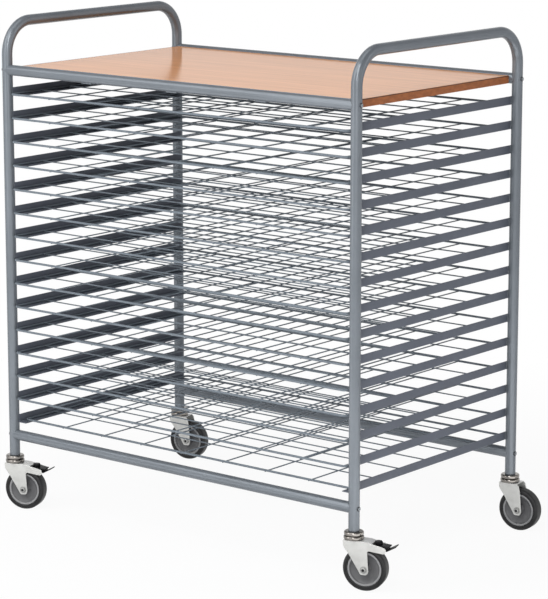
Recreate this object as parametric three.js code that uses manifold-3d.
// Mobile drying rack for art work: two bent-tube end frames with welded angle runners,
// four cross rails, a laminated top board, fifteen loose wire shelves and four swivel casters.
// Millimetres, +Z up, +X to the right of the long front side, +Y to the back.
import * as THREE from 'three';
import { mergeVertices } from 'three/addons/utils/BufferGeometryUtils.js';
import Module from 'manifold-3d';

const wasm = await Module();
wasm.setup();

// Frame
const LEG_SPAN_X = 1030;
const LEG_SPAN_Y = 606;
const TUBE_R = 12.5;
const TUBE_WALL = 1.5;
const TUBE_SIDES = 16;
const BORE_SIDES = 8;
const TOP_RAIL_RISE = 932;
const BOTTOM_RAIL_RISE = 50;
const HANDLE_RISE = 112;
const HOOP_BEND_R = 76;
const HOOP_BEND_STEPS = 6;
const GAP = 0.3;

// Angle runners that carry the shelves
const SHELF_COUNT = 15;
const RUNNER_PITCH = 56.5;
const FIRST_RUNNER_DROP = 50.5;
const RUNNER_WEB = 20;
const RUNNER_FLANGE = 24;
const RUNNER_THICK = 2;
const RUNNER_WELD = 0.75;
const RUNNER_END_CLEAR = 0.2;

// Wire shelves
const SHELF_SIDE_PLAY = 1.6;
const SHELF_DEPTH = 595;
const SHELF_FRONT_LEAD = 9;
const LAST_SHELF_SETBACK = 30;
const SHELF_CORNER_R = 9;
const SHELF_CORNER_STEPS = 1;
const BORDER_TALL = 5.2;
const BORDER_WIDE = 4.6;
const THIN_WIRE = 2.5;
const WIRE_CLEAR = 0.1;
const LONG_WIRES = 5;
const CROSS_WIRES = 7;

// Top board
const BOARD_THICK = 18;
const BOARD_ABOVE_RAIL = 7.4;
const BOARD_END_INSET = 15;
const EDGE_BAND = 2;
const LUG_WIDTH = 30;
const LUG_REACH = 34;
const LUG_THICK = 3;
const LUG_PAD = 6;
const LUG_COUNT = 3;

// Rail bolts
const BOLT_R = 3;
const BOLT_HEAD_R = 5.5;
const BOLT_HEAD = 2.4;
const BOLT_DOME = 1.4;
const BOLT_LENGTH = 52;
const BOLT_TIP_CLEAR = 3;
const BOLT_SIDES = 6;
const PLUG_LENGTH = 20;

// Casters
const WHEEL_R = 50;
const TYRE_WIDTH = 28;
const TYRE_DEPTH = 11;
const WHEEL_SIDES = 18;
const WHEEL_CLEARANCE = 10.6;
const HUB_HALF = 16.2;
const HUB_BOSS = 5;
const HUB_DISC = 7;
const RIM_WALL = 3;
const TYRE_ROUND = 4.5;
const SIDEWALL_STEP = 1;
const AXLE_R = 4;
const AXLE_HEAD_R = 6.8;
const AXLE_HEAD = 4.5;
const TRAIL = 28;
const PLATE = 2.5;
const PLATE_GAP = 16.6;
const AXLE_LOBE = 12;
const CROWN_INSET = 2;
const NOTCH_LEAD = 7.5;
const NOTCH_DROP = 21.1;
const ARM_ROOT = 8;
const ARM_TIP = 8;
const ARM_TIP_RISE = 4.5;
const RING_R = 22;
const RING_SIDES = 12;
const UPPER_RING = 9.3;
const LOWER_RING = 9;
const RING_ROUND = 2.5;
const RACE_LIP = 0.8;
const RACE_TAPER = 6;
const STEM_LENGTH = 34;
const KING_PIN_R = 5;
const RIVET_R = 8;
const RIVET_THICK = 2.6;
const PEDAL_WIDTH = 25;
const PEDAL_PIVOT_R = 2.4;
const PEDAL_REACH = 38;
const PEDAL_DROP = 13.6;
const BRAKE_NUT_R = 9;
const BRAKE_NUT = 8.5;
const NUT_SETBACK = 9;
const NUT_SEAT_RISE = 5.5;
const ARM_COVER_CLEAR = 2;

// Turn of each caster about its upright axis, from straight to the right
const CASTERS = [
  { name: 'front_left', x: -1, y: -1, turn: 20, braked: true },
  { name: 'front_right', x: 1, y: -1, turn: 20, braked: true },
  { name: 'back_left', x: -1, y: 1, turn: 14, braked: false },
  { name: 'back_right', x: 1, y: 1, turn: 8, braked: false },
];

// Finishes
const steelPaint = { color: 0x6f7983, roughness: 0.42, metalness: 0.25 };
const wirePaint = { color: 0x6b737b, roughness: 0.45, metalness: 0.3 };
const boardFace = { color: 0xb9855c, roughness: 0.3, metalness: 0 };
const boardEdge = { color: 0x935a35, roughness: 0.45, metalness: 0 };
const boltSteel = { color: 0x7b8288, roughness: 0.35, metalness: 0.8 };
const zinc = { color: 0xc9c9c4, roughness: 0.38, metalness: 0.7 };
const polished = { color: 0xbdbcb6, roughness: 0.15, metalness: 1 };
const hubGrey = { color: 0x6d6e6c, roughness: 0.5, metalness: 0 };
const tyreGrey = { color: 0x383836, roughness: 0.8, metalness: 0 };
const pedalBlack = { color: 0x1b1c1c, roughness: 0.5, metalness: 0 };

const halfX = LEG_SPAN_X / 2;
const halfY = LEG_SPAN_Y / 2;

// Heights build up from the floor: wheel, crown plate, both races, leg, rails
const crownBottom = 2 * WHEEL_R + WHEEL_CLEARANCE;
const crownTop = crownBottom + PLATE;
const lowerTop = crownTop + LOWER_RING;
const ringSplit = lowerTop + GAP;
const ringTop = ringSplit + UPPER_RING;
const legBottomZ = ringTop + GAP;
const topRailZ = legBottomZ + TOP_RAIL_RISE;
const bottomRailZ = legBottomZ + BOTTOM_RAIL_RISE;
const pedalPivot = [TRAIL + PEDAL_REACH, crownTop - PEDAL_DROP];
const hoopTopZ = topRailZ + HANDLE_RISE;

const tubeFlat = TUBE_R * Math.cos(Math.PI / TUBE_SIDES);
const webOuter = halfX - tubeFlat + RUNNER_WELD;
const webInner = webOuter - RUNNER_THICK;
const runnerEnd = halfY - TUBE_R * Math.sin(Math.PI / TUBE_SIDES) - RUNNER_END_CLEAR;
const bore = TUBE_R - TUBE_WALL;
const rack = new THREE.Group();
rack.name = 'art_drying_rack';

function outward(geometry) {
  const bare = geometry.clone();
  for (const name of Object.keys(bare.attributes)) {
    if (name !== 'position') bare.deleteAttribute(name);
  }
  const welded = mergeVertices(bare, 1e-4);
  const place = welded.getAttribute('position');
  const source = welded.getIndex().array;
  const faces = [];
  let volume = 0;
  const a = new THREE.Vector3();
  const b = new THREE.Vector3();
  const c = new THREE.Vector3();
  for (let i = 0; i < source.length; i += 3) {
    const [p, q, r] = [source[i], source[i + 1], source[i + 2]];
    if (p === q || q === r || r === p) continue;
    faces.push(p, q, r);
    a.fromBufferAttribute(place, p);
    b.fromBufferAttribute(place, q);
    c.fromBufferAttribute(place, r);
    volume += a.dot(b.cross(c));
  }
  if (volume < 0) {
    for (let i = 0; i < faces.length; i += 3) {
      [faces[i + 1], faces[i + 2]] = [faces[i + 2], faces[i + 1]];
    }
  }
  welded.setIndex(faces);
  return welded;
}

function solid(geometry) {
  const clean = outward(geometry);
  return new wasm.Manifold(new wasm.Mesh({
    numProp: 3,
    vertProperties: new Float32Array(clean.getAttribute('position').array),
    triVerts: new Uint32Array(clean.getIndex().array),
  }));
}

function shapeOf(body) {
  const mesh = body.getMesh();
  const geometry = new THREE.BufferGeometry();
  geometry.setAttribute('position', new THREE.Float32BufferAttribute(mesh.vertProperties, 3));
  geometry.setIndex(Array.from(mesh.triVerts));
  return geometry;
}

function join(bodies) {
  return bodies.reduce((whole, next) => whole.add(next));
}

function addPiece(name, geometry, finish) {
  const clean = outward(geometry);
  clean.computeVertexNormals();
  const mesh = new THREE.Mesh(clean, new THREE.MeshStandardMaterial({ ...finish, name }));
  mesh.name = name;
  rack.add(mesh);
  return mesh;
}

function ring(radius, sides, flatFirst = true) {
  const start = flatFirst ? Math.PI / sides : 0;
  const points = [];
  for (let i = 0; i < sides; i += 1) {
    const turn = start + (2 * Math.PI * i) / sides;
    points.push(new THREE.Vector2(radius * Math.cos(turn), radius * Math.sin(turn)));
  }
  return points;
}

// Radius of a many-sided hole whose flats stay clear of a round pin
function holeFor(radius, sides) {
  return (radius + GAP) / Math.cos(Math.PI / sides);
}

function box(x0, x1, y0, y1, z0, z1) {
  const geometry = new THREE.BoxGeometry(x1 - x0, y1 - y0, z1 - z0);
  geometry.translate((x0 + x1) / 2, (y0 + y1) / 2, (z0 + z1) / 2);
  return geometry;
}

// An outline in the Y-Z plane carried along X
function slabX(outline, x0, x1) {
  const geometry = new THREE.ExtrudeGeometry(new THREE.Shape(outline), {
    depth: x1 - x0,
    bevelEnabled: false,
  });
  geometry.rotateX(Math.PI / 2);
  geometry.rotateZ(Math.PI / 2);
  geometry.translate(x0, 0, 0);
  return geometry;
}

function barX(radius, sides, x0, x1, y, z) {
  return slabX(ring(radius, sides), x0, x1).translate(0, y, z);
}

function barY(radius, sides, y0, y1, x, z) {
  const geometry = new THREE.ExtrudeGeometry(new THREE.Shape(ring(radius, sides)), {
    depth: y1 - y0,
    bevelEnabled: false,
  });
  geometry.rotateX(-Math.PI / 2);
  geometry.translate(x, y0, z);
  return geometry;
}

function barZ(radius, sides, z0, z1, x, y) {
  const geometry = new THREE.ExtrudeGeometry(new THREE.Shape(ring(radius, sides)), {
    depth: z1 - z0,
    bevelEnabled: false,
  });
  geometry.translate(x, y, z0);
  return geometry;
}

// An outline in the X-Z plane, given as [x, z] pairs, carried along Y
function slabY(outline, y0, y1) {
  const shape = new THREE.Shape(outline.map(([x, z]) => new THREE.Vector2(x, z)));
  const geometry = new THREE.ExtrudeGeometry(shape, { depth: y1 - y0, bevelEnabled: false });
  geometry.rotateX(Math.PI / 2);
  geometry.translate(0, y1, 0);
  return geometry;
}

function turnedZ(profile, sides) {
  const geometry = new THREE.LatheGeometry(profile.map(([r, z]) => new THREE.Vector2(r, z)), sides);
  geometry.rotateX(Math.PI / 2);
  return geometry;
}

function turnedY(profile, sides) {
  return new THREE.LatheGeometry(profile.map(([r, y]) => new THREE.Vector2(r, y)), sides);
}

// A route given by chosen stations, each with a place and a direction
class Route extends THREE.Curve {
  constructor(stations) {
    super();
    this.stations = stations;
  }

  station(u) {
    return this.stations[Math.round(u * (this.stations.length - 1))];
  }

  getPoint(u, target = new THREE.Vector3()) {
    return target.copy(this.station(u).place);
  }

  getPointAt(u, target = new THREE.Vector3()) {
    return this.getPoint(u, target);
  }

  getTangentAt(u, target = new THREE.Vector3()) {
    return target.copy(this.station(u).way);
  }
}

function arcStations(centre, from, to, radius, steps, start, end) {
  const list = [];
  for (let i = 0; i <= steps; i += 1) {
    const turn = start + ((end - start) * i) / steps;
    const place = centre.clone()
      .addScaledVector(from, radius * Math.cos(turn))
      .addScaledVector(to, radius * Math.sin(turn));
    const way = from.clone().multiplyScalar(-Math.sin(turn)).addScaledVector(to, Math.cos(turn));
    list.push({ place, way: way.multiplyScalar(Math.sign(end - start)) });
  }
  return list;
}

const boltHole = holeFor(BOLT_R, BOLT_SIDES);

// End frames: one tube bent twice, open at both feet, with the runners welded to its inner side
function hoop(x) {
  const forward = new THREE.Vector3(0, -1, 0);
  const upward = new THREE.Vector3(0, 0, 1);
  const bendZ = hoopTopZ - HOOP_BEND_R;
  const frontBend = new THREE.Vector3(x, -halfY + HOOP_BEND_R, bendZ);
  const backBend = new THREE.Vector3(x, halfY - HOOP_BEND_R, bendZ);
  const back = forward.clone().negate();
  const stations = [
    { place: new THREE.Vector3(x, -halfY, legBottomZ), way: upward.clone() },
    ...arcStations(frontBend, forward, upward, HOOP_BEND_R, HOOP_BEND_STEPS, 0, Math.PI / 2),
    ...arcStations(backBend, back, upward, HOOP_BEND_R, HOOP_BEND_STEPS, Math.PI / 2, 0),
    { place: new THREE.Vector3(x, halfY, legBottomZ), way: upward.clone().negate() },
  ];
  const section = new THREE.Shape(ring(TUBE_R, TUBE_SIDES));
  section.holes.push(new THREE.Path(ring(bore, BORE_SIDES)));
  return new THREE.ExtrudeGeometry(section, {
    extrudePath: new Route(stations),
    steps: stations.length - 1,
    bevelEnabled: false,
  });
}

function runnerZ(level) {
  return topRailZ - FIRST_RUNNER_DROP - RUNNER_PITCH * level;
}

function runner(side, level) {
  const low = runnerZ(level) - RUNNER_WEB / 2;
  const outline = [
    [webOuter, low],
    [webOuter, low + RUNNER_WEB],
    [webInner, low + RUNNER_WEB],
    [webInner, low + RUNNER_THICK],
    [webOuter - RUNNER_FLANGE, low + RUNNER_THICK],
    [webOuter - RUNNER_FLANGE, low],
  ];
  return slabY(outline.map(([x, z]) => [side * x, z]), -runnerEnd, runnerEnd);
}

function endFrame(side) {
  let body = solid(hoop(side * halfX));
  for (const y of [-halfY, halfY]) {
    for (const z of [topRailZ, bottomRailZ]) {
      const x = side * halfX;
      const hole = barX(boltHole, BOLT_SIDES, x - 2 * TUBE_R, x + 2 * TUBE_R, y, z);
      body = body.subtract(solid(hole));
    }
  }
  for (let level = 0; level < SHELF_COUNT; level += 1) {
    body = body.add(solid(runner(side, level)));
  }
  return shapeOf(body);
}

// Cross rails: tube with plugged, saddle-cut ends, bolt holes and, under the board, lugs
function crossRail(y, z, lugSide) {
  const hollow = halfX - TUBE_R - PLUG_LENGTH;
  let body = solid(barX(TUBE_R, TUBE_SIDES, -halfX, halfX, y, z));
  body = body.subtract(solid(barX(bore, BORE_SIDES, -hollow, hollow, y, z)));
  for (const side of [-1, 1]) {
    const leg = barZ(TUBE_R + GAP, TUBE_SIDES, z - 2 * TUBE_R, z + 2 * TUBE_R, side * halfX, y);
    body = body.subtract(solid(leg));
    const ends = [side * (halfX - BOLT_LENGTH), side * halfX].sort((a, b) => a - b);
    body = body.subtract(solid(barX(boltHole, BOLT_SIDES, ends[0], ends[1], y, z)));
  }
  if (lugSide !== 0) {
    const lugTop = BOARD_ABOVE_RAIL - BOARD_THICK - GAP;
    const pad = LUG_PAD * lugSide;
    const lug = [
      new THREE.Vector2(-pad, lugTop - LUG_THICK),
      new THREE.Vector2(LUG_REACH * lugSide, lugTop - LUG_THICK),
      new THREE.Vector2(LUG_REACH * lugSide, lugTop),
      new THREE.Vector2(pad, lugTop),
      new THREE.Vector2(pad, RUNNER_WELD - tubeFlat),
      new THREE.Vector2(-pad, RUNNER_WELD - tubeFlat),
    ];
    for (let i = 0; i < LUG_COUNT; i += 1) {
      const x = LEG_SPAN_X * ((i + 1) / (LUG_COUNT + 1) - 0.5);
      const strap = slabX(lug, x - LUG_WIDTH / 2, x + LUG_WIDTH / 2).translate(0, y, z);
      body = body.add(solid(strap));
    }
  }
  return shapeOf(body);
}

// Rail bolts: button heads screwed in from outside the legs
function railBolt(side, y, z) {
  const seat = halfX + tubeFlat + GAP;
  const end = halfX + GAP - BOLT_LENGTH + BOLT_TIP_CLEAR;
  const profile = [
    [0, seat + BOLT_HEAD],
    [BOLT_HEAD_R - BOLT_DOME, seat + BOLT_HEAD],
    [BOLT_HEAD_R, seat],
    [BOLT_R, seat],
    [BOLT_R, end],
    [0, end],
  ];
  const geometry = turnedY(profile, BORE_SIDES);
  geometry.rotateZ(-side * Math.PI / 2);
  geometry.translate(0, y, z);
  return geometry;
}

// A closed level loop of wire through the given stations
function wireLoop(stations, wide, tall) {
  const corners = [[-1, -1], [1, -1], [1, 1], [-1, 1]];
  const places = [];
  const faces = [];
  stations.forEach(({ place, way }, i) => {
    const next = (i + 1) % stations.length;
    corners.forEach(([out, up], j) => {
      const side = (out * wide) / 2;
      places.push(place.x + way.y * side, place.y - way.x * side, place.z + (up * tall) / 2);
      const beside = (j + 1) % corners.length;
      const [p, q] = [i * corners.length + j, i * corners.length + beside];
      const [r, t] = [next * corners.length + beside, next * corners.length + j];
      faces.push(p, q, r, p, r, t);
    });
  });
  const geometry = new THREE.BufferGeometry();
  geometry.setAttribute('position', new THREE.Float32BufferAttribute(places, 3));
  geometry.setIndex(faces);
  return geometry;
}

// Wire shelf: bent border wire, long wires and, below them, cross wires welded into its inner side
function shelf(level) {
  const width = 2 * (webInner - SHELF_SIDE_PLAY) - BORDER_WIDE;
  const wireZ = runnerZ(level) - RUNNER_WEB / 2 + RUNNER_THICK + GAP + BORDER_TALL / 2;
  const setback = level === SHELF_COUNT - 1 ? LAST_SHELF_SETBACK : 0;
  const frontY = -halfY - SHELF_FRONT_LEAD + setback;
  const backY = frontY + SHELF_DEPTH;
  const ahead = new THREE.Vector3(1, 0, 0);
  const behind = new THREE.Vector3(0, 1, 0);
  const cornerX = width / 2 - SHELF_CORNER_R;
  const corners = [
    [cornerX, frontY + SHELF_CORNER_R, -90],
    [cornerX, backY - SHELF_CORNER_R, 0],
    [-cornerX, backY - SHELF_CORNER_R, 90],
    [-cornerX, frontY + SHELF_CORNER_R, 180],
  ];
  const stations = [];
  for (const [x, y, start] of corners) {
    const centre = new THREE.Vector3(x, y, wireZ);
    const from = THREE.MathUtils.degToRad(start);
    stations.push(...arcStations(
      centre, ahead, behind, SHELF_CORNER_R, SHELF_CORNER_STEPS, from, from + Math.PI / 2,
    ));
  }
  const wires = [solid(wireLoop(stations, BORDER_WIDE, BORDER_TALL))];
  const thin = Math.min(THIN_WIRE, BORDER_TALL / 2 - WIRE_CLEAR);
  const lift = WIRE_CLEAR / 2;
  for (let i = 1; i <= LONG_WIRES; i += 1) {
    const y = frontY + (SHELF_DEPTH * i) / (LONG_WIRES + 1);
    const long = box(-width / 2, width / 2, y - thin / 2, y + thin / 2, wireZ + lift, wireZ + lift + thin);
    wires.push(solid(long));
  }
  for (let i = 1; i <= CROSS_WIRES; i += 1) {
    const x = width * (i / (CROSS_WIRES + 1) - 0.5);
    const cross = box(x - thin / 2, x + thin / 2, frontY, backY, wireZ - lift - thin, wireZ - lift);
    wires.push(solid(cross));
  }
  return shapeOf(join(wires));
}

// Caster pieces, built about the upright axis with the wheel trailing to the right
const plateOuter = PLATE_GAP + PLATE;

function casterStem() {
  const pinEnd = crownBottom - GAP - RIVET_THICK;
  return turnedZ([
    [0, legBottomZ + STEM_LENGTH],
    [bore * Math.cos(Math.PI / BORE_SIDES) - GAP, legBottomZ + STEM_LENGTH],
    [bore * Math.cos(Math.PI / BORE_SIDES) - GAP, ringTop],
    [RING_R - RING_ROUND, ringTop],
    [RING_R, ringTop - RING_ROUND],
    [RING_R, ringSplit + RING_ROUND],
    [KING_PIN_R, ringSplit],
    [KING_PIN_R, crownBottom - GAP],
    [RIVET_R, crownBottom - GAP],
    [RIVET_R, pinEnd],
    [0, pinEnd],
  ], RING_SIDES);
}

function forkOutline(braked) {
  const lobe = AXLE_LOBE;
  const outline = [
    [-RING_R + CROWN_INSET, crownTop],
    [-RING_R + CROWN_INSET + 2, crownTop - 14],
    [-6, crownTop - 31],
    [TRAIL - lobe * 0.86, WHEEL_R - lobe * 0.42],
    [TRAIL - lobe * 0.45, WHEEL_R - lobe * 0.9],
    [TRAIL + lobe * 0.35, WHEEL_R - lobe * 0.94],
    [TRAIL + lobe * 0.86, WHEEL_R - lobe * 0.5],
    [TRAIL + lobe * 0.8, WHEEL_R + lobe * 0.8],
    [TRAIL + NOTCH_LEAD, crownTop - NOTCH_DROP],
  ];
  if (!braked) return [...outline, [TRAIL + 3, crownTop - 6], [TRAIL - CROWN_INSET, crownTop]];
  const [u, z] = pedalPivot;
  return [
    ...outline,
    [TRAIL + NOTCH_LEAD + 2.5, z - 5.5],
    [u + 4, z - 10.5],
    [u + 10, z - 8.5],
    [u + 12, z - 2],
    [u + ARM_TIP, z + ARM_TIP_RISE],
    [TRAIL + ARM_ROOT, crownTop - 1],
    [TRAIL, crownTop],
  ];
}

// Cover plate that runs on from the crown, down the arms as far as the brake nut
function armCover() {
  const [u, z] = pedalPivot;
  const bend = [TRAIL + ARM_ROOT, crownTop - 1];
  const tip = [u + ARM_TIP, z + ARM_TIP_RISE];
  const reach = u - NUT_SETBACK - BRAKE_NUT_R - ARM_COVER_CLEAR;
  const share = (reach - bend[0]) / (tip[0] - bend[0]);
  const end = [reach, bend[1] + share * (tip[1] - bend[1])];
  const upper = [[TRAIL - 2 * PLATE, crownTop], [TRAIL, crownTop], bend, end];
  const under = upper.map(([x, height]) => [x, height - PLATE]).reverse();
  return slabY([...upper, ...under], -plateOuter, plateOuter);
}

function casterFork(braked) {
  const outline = forkOutline(braked);
  const race = turnedZ([
    [0, crownTop - PLATE / 2],
    [RING_R - RACE_TAPER, crownTop - PLATE / 2],
    [RING_R + RACE_LIP, crownTop + RING_ROUND],
    [RING_R + RACE_LIP, lowerTop - RING_ROUND],
    [RING_R + RACE_LIP - RING_ROUND, lowerTop],
    [0, lowerTop],
  ], RING_SIDES);
  const crown = box(
    -RING_R + CROWN_INSET, TRAIL - CROWN_INSET, -plateOuter, plateOuter, crownBottom, crownTop,
  );
  let body = solid(crown).add(solid(race));
  body = body.add(solid(slabY(outline, -plateOuter, -PLATE_GAP)));
  body = body.add(solid(slabY(outline, PLATE_GAP, plateOuter)));
  const pinHole = barZ(holeFor(KING_PIN_R, BORE_SIDES), BORE_SIDES, crownBottom - 1, lowerTop + 1, 0, 0);
  body = body.subtract(solid(pinHole));
  const axleR = holeFor(AXLE_R, BORE_SIDES);
  const axleHole = barY(axleR, BORE_SIDES, -plateOuter - 1, plateOuter + 1, TRAIL, WHEEL_R);
  body = body.subtract(solid(axleHole));
  if (braked) {
    const [u, z] = pedalPivot;
    const pivotR = holeFor(PEDAL_PIVOT_R, BORE_SIDES);
    const pivotHole = barY(pivotR, BORE_SIDES, -plateOuter - 1, plateOuter + 1, u, z);
    body = body.add(solid(armCover())).subtract(solid(pivotHole));
  }
  return shapeOf(body);
}

function wheelHub() {
  const rim = WHEEL_R - TYRE_DEPTH - GAP;
  const face = [
    [holeFor(AXLE_R, WHEEL_SIDES), HUB_HALF],
    [AXLE_R + HUB_BOSS, HUB_HALF],
    [AXLE_R + HUB_BOSS + RIM_WALL, HUB_DISC],
    [rim - 2 * RIM_WALL, HUB_DISC - SIDEWALL_STEP],
    [rim - RIM_WALL, TYRE_WIDTH / 2 - SIDEWALL_STEP],
    [rim, TYRE_WIDTH / 2 - SIDEWALL_STEP],
  ];
  const under = face.map(([r, y]) => [r, -y]).reverse();
  return turnedY([...face, ...under, face[0]], WHEEL_SIDES);
}

function wheelTyre() {
  const seat = WHEEL_R - TYRE_DEPTH;
  const half = TYRE_WIDTH / 2;
  const face = [
    [seat, half - SIDEWALL_STEP],
    [WHEEL_R - TYRE_ROUND + SIDEWALL_STEP, half],
    [WHEEL_R, half - TYRE_ROUND],
  ];
  const under = face.map(([r, y]) => [r, -y]).reverse();
  return turnedY([...face, ...under, face[0]], WHEEL_SIDES);
}

function wheelAxle() {
  const seat = plateOuter + GAP;
  const shank = solid(barY(AXLE_R, BORE_SIDES, -seat - 1, seat + 1, TRAIL, WHEEL_R));
  const head = solid(barY(AXLE_HEAD_R, 6, -seat - AXLE_HEAD, -seat, TRAIL, WHEEL_R));
  const nut = solid(barY(AXLE_HEAD_R, 6, seat, seat + AXLE_HEAD + 1, TRAIL, WHEEL_R));
  return shapeOf(join([shank, head, nut]));
}

// Brake pedal: a bent foot lever with a short release tab, on a cross pin between the arms
function brakePedal() {
  const [u, z] = pedalPivot;
  const seat = z + NUT_SEAT_RISE;
  const inner = u - NUT_SETBACK - BRAKE_NUT_R + 1;
  const lever = [
    [inner, seat - 2.5],
    [u - 6, seat - 3.5],
    [u - 5, z - 4.5],
    [u + 6, z - 4.5],
    [u + 12, z - 6],
    [u + 33, z + 5.4],
    [u + 32, z + 7.4],
    [u + 12, z - 3.4],
    [u + 7, z - 1],
    [u + 8, z + 1.6],
    [u + 17.5, z + 2.4],
    [u + 17.5, z + 4.6],
    [u + 6, seat],
    [inner, seat],
  ];
  const foot = solid(slabY(lever, -PEDAL_WIDTH / 2, PEDAL_WIDTH / 2));
  const pin = solid(barY(PEDAL_PIVOT_R, BORE_SIDES, -plateOuter, plateOuter, u, z));
  return shapeOf(foot.add(pin));
}

function brakeNut() {
  const [u, z] = pedalPivot;
  const seat = z + NUT_SEAT_RISE + GAP;
  return barZ(BRAKE_NUT_R, 6, seat, seat + BRAKE_NUT, u - NUT_SETBACK, 0);
}

function setCaster(geometry, caster) {
  geometry.rotateZ(THREE.MathUtils.degToRad(caster.turn));
  geometry.translate(caster.x * halfX, caster.y * halfY, 0);
  return geometry;
}

addPiece('left_end_frame', endFrame(-1), steelPaint);
addPiece('right_end_frame', endFrame(1), steelPaint);
addPiece('front_top_rail', crossRail(-halfY, topRailZ, 1), steelPaint);
addPiece('back_top_rail', crossRail(halfY, topRailZ, -1), steelPaint);
addPiece('front_bottom_rail', crossRail(-halfY, bottomRailZ, 0), steelPaint);
addPiece('back_bottom_rail', crossRail(halfY, bottomRailZ, 0), steelPaint);

const boardX = halfX - BOARD_END_INSET;
const boardY = halfY - TUBE_R - GAP;
const boardTop = topRailZ + BOARD_ABOVE_RAIL;
const boardLow = boardTop - BOARD_THICK;
const coreX = boardX - EDGE_BAND - GAP;
addPiece('top_board', box(-coreX, coreX, -boardY, boardY, boardLow, boardTop), boardFace);
for (const [name, x] of [['left', -boardX], ['right', boardX - EDGE_BAND]]) {
  const band = box(x, x + EDGE_BAND, -boardY, boardY, boardLow, boardTop);
  addPiece(`${name}_edge_band`, band, boardEdge);
}

for (let level = 0; level < SHELF_COUNT; level += 1) {
  addPiece(`shelf_${String(level + 1).padStart(2, '0')}`, shelf(level), wirePaint);
}

for (const [sideName, side] of [['left', -1], ['right', 1]]) {
  for (const [endName, y] of [['front', -halfY], ['back', halfY]]) {
    addPiece(`top_bolt_${endName}_${sideName}`, railBolt(side, y, topRailZ), boltSteel);
    addPiece(`bottom_bolt_${endName}_${sideName}`, railBolt(side, y, bottomRailZ), boltSteel);
  }
}

for (const caster of CASTERS) {
  addPiece(`caster_stem_${caster.name}`, setCaster(casterStem(), caster), polished);
  addPiece(`caster_fork_${caster.name}`, setCaster(casterFork(caster.braked), caster), zinc);
  const hub = wheelHub().translate(TRAIL, 0, WHEEL_R);
  const tyre = wheelTyre().translate(TRAIL, 0, WHEEL_R);
  addPiece(`wheel_hub_${caster.name}`, setCaster(hub, caster), hubGrey);
  addPiece(`wheel_tyre_${caster.name}`, setCaster(tyre, caster), tyreGrey);
  addPiece(`axle_bolt_${caster.name}`, setCaster(wheelAxle(), caster), boltSteel);
  if (caster.braked) {
    addPiece(`brake_pedal_${caster.name}`, setCaster(brakePedal(), caster), pedalBlack);
    addPiece(`brake_nut_${caster.name}`, setCaster(brakeNut(), caster), pedalBlack);
  }
}

// The origin goes to the middle of the footprint, on the floor
const reach = new THREE.Box3().setFromObject(rack);
const middle = reach.getCenter(new THREE.Vector3());
for (const mesh of rack.children) {
  mesh.geometry.translate(-middle.x, -middle.y, -reach.min.z);
}

export default rack;
